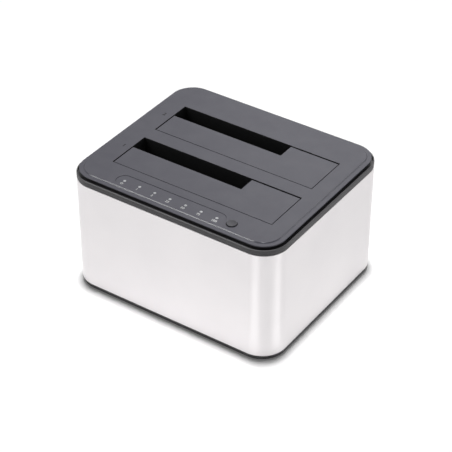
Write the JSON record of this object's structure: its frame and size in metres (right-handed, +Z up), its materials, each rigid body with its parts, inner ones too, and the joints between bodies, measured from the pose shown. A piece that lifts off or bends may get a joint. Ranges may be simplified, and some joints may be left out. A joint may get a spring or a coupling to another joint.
{
  "type": "hard drive docking station",
  "caption": "Low silver desktop dock with a dark bevelled top: drive slots under spring flaps, an indicator row with a button, and ports at the back.",
  "frame": {"origin": "centre of the footprint, on the surface that the feet stand on", "axes": "+X to the right along the front face, +Y from the front to the back, +Z up"},
  "size_m": [0.135, 0.1146, 0.0774],
  "materials": {
    "shell": "fine satin, silver",
    "cover": "fine grain, mid grey",
    "band": "satin, dark grey",
    "black_plastic": "moulded, black",
    "rubber": "matt",
    "steel": "bright",
    "clear_guide": "frosted clear",
    "board": "solder mask, green",
    "chip": "moulded",
    "can": "printed sleeve, dark",
    "coil": "matt",
    "contact": "plated",
    "usb_blue": "moulded, blue",
    "lamp": "clear",
    "ribbon": "flat cable, grey",
    "button": "satin, dark grey"
  },
  "bodies": {
    "case": {"aluminium_shell": "shell", "base_tray": "black_plastic", "rubber_feet": "rubber", "case_screws": "steel", "top_frame": "band", "top_cover": "cover", "cover_screws": "steel", "indicator_panel": "cover", "light_guide": "clear_guide", "led_board": "board", "leds": "lamp", "led_board_screws": "steel", "tact_switch": "black_plastic", "front_hinge_pin": "steel", "rear_hinge_pin": "steel", "front_drive_well": "black_plastic", "rear_drive_well": "black_plastic", "well_screws": "steel", "main_board": "board", "board_screws": "steel", "front_sata_socket": "black_plastic", "rear_sata_socket": "black_plastic", "front_sata_contacts": "contact", "rear_sata_contacts": "contact", "bridge_chips": "chip", "capacitors": "can", "power_coils": "coil", "usb_port_shell": "steel", "usb_insulator": "usb_blue", "dc_jack": "black_plastic", "dc_jack_pin": "steel", "power_switch": "black_plastic", "port_plate": "black_plastic", "ribbon_headers": "black_plastic", "ribbon_cable": "ribbon"},
    "front_flap": {"front_flap": "cover", "front_flap_spring": "steel"},
    "rear_flap": {"rear_flap": "cover", "rear_flap_spring": "steel"},
    "clone_button": {"clone_button": "button", "tact_plunger": "black_plastic"},
    "power_button": {"power_button": "button"}
  },
  "joints": [
    {"name": "front_flap_hinge", "type": "hinge", "parent": "case", "child": "front_flap", "pos_m": [0, -0.03685, 0.0736], "axis": [-1, 0, 0], "range_deg": [0, 90], "stiffness_Nm_per_rad": 0.002, "springref_deg": -85.94},
    {"name": "rear_flap_hinge", "type": "hinge", "parent": "case", "child": "rear_flap", "pos_m": [0, 0.0024, 0.0736], "axis": [-1, 0, 0], "range_deg": [0, 90], "stiffness_Nm_per_rad": 0.002, "springref_deg": -85.94},
    {"name": "clone_button_press", "type": "slide", "parent": "case", "child": "clone_button", "axis": [0, 0, -1], "range_m": [0, 0.0005], "stiffness_N_per_m": 400, "springref_m": -0.001},
    {"name": "power_button_press", "type": "slide", "parent": "case", "child": "power_button", "axis": [0, -1, 0], "range_m": [0, 0.002], "stiffness_N_per_m": 400, "springref_m": -0.002}
  ]
}
